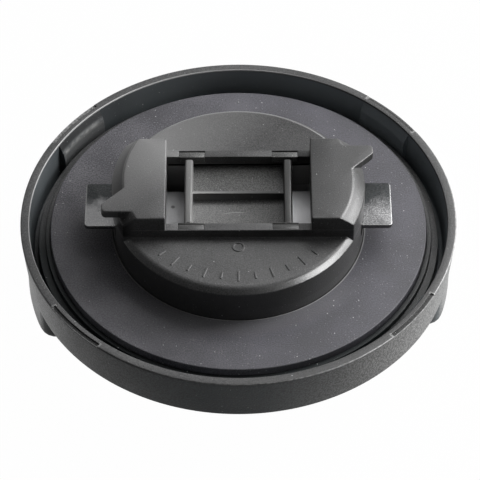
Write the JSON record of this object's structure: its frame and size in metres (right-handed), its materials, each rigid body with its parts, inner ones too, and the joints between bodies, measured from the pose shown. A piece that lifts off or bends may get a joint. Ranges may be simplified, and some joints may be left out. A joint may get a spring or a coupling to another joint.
{
  "type": "oil filler cap",
  "caption": "Round black bayonet oil filler cap with a finger grip, flat gasket, spigot with two hooked wings and a sprung steel locking strip.",
  "frame": {"origin": "centre of the flat face of the finger grip that the cap lies on, on the cap's axis", "axes": "+Z out of the spigot along the cap's axis, +X along the locking strip"},
  "size_m": [0.078, 0.078, 0.0253],
  "materials": {
    "cap_plastic": "black glass-filled nylon, satin moulded skin with a fine grain",
    "gasket_rubber": "matte black rubber with a dusty bloom",
    "strip_steel": "blackened spring steel with a thin semi-gloss coat",
    "clip_plastic": "dark grey moulded plastic, dull"
  },
  "bodies": {
    "root": {"cap_body": "cap_plastic", "gasket": "gasket_rubber", "locking_strip": "strip_steel", "retainer_clip": "clip_plastic"}
  },
  "joints": []
}
